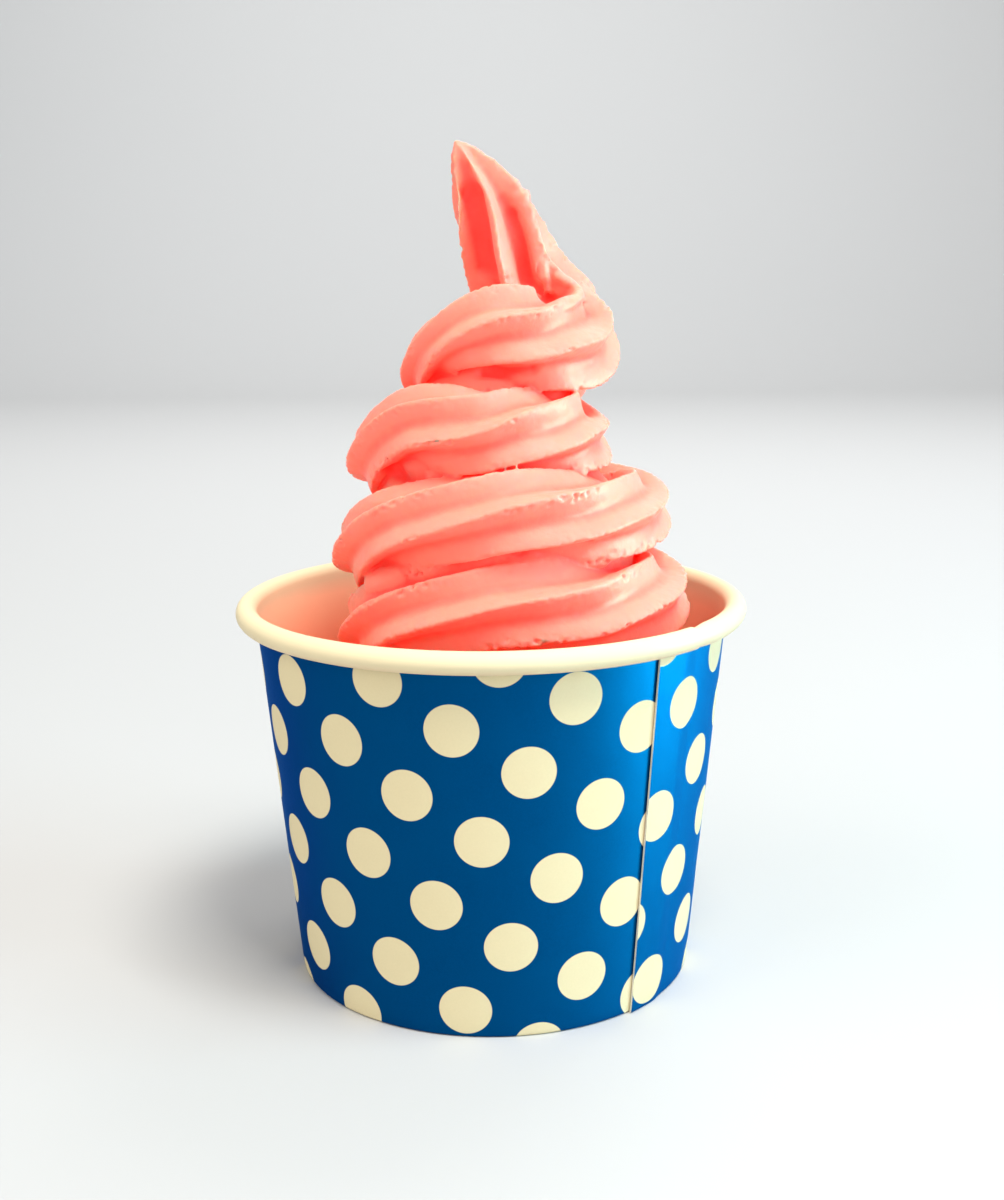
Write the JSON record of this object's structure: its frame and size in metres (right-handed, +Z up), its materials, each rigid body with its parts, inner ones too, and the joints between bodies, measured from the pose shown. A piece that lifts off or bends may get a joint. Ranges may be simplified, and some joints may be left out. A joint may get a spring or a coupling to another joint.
{
  "type": "frozen yogurt cup",
  "caption": "Paper cup with a rolled rim and a pale polka-dot print on blue, filled with a tall ridged swirl of coral-pink frozen yogurt that ends in a leaning curled peak.",
  "frame": {"origin": "centre of the cup's round foot, on the surface it stands on and on the cup's axis", "axes": "+Z up along the cup's axis; -Y is the front, where the cup's seam shows right of the middle and the swirl's turns rise to the right; +X is to the right of that front"},
  "size_m": [0.0998, 0.0998, 0.1613],
  "materials": {
    "printed_paper": "satin",
    "white_paper": "satin",
    "yogurt": "satin"
  },
  "bodies": {
    "root": {"cup_wall": "printed_paper", "cup_bottom": "white_paper", "frozen_yogurt": "yogurt"}
  },
  "joints": []
}
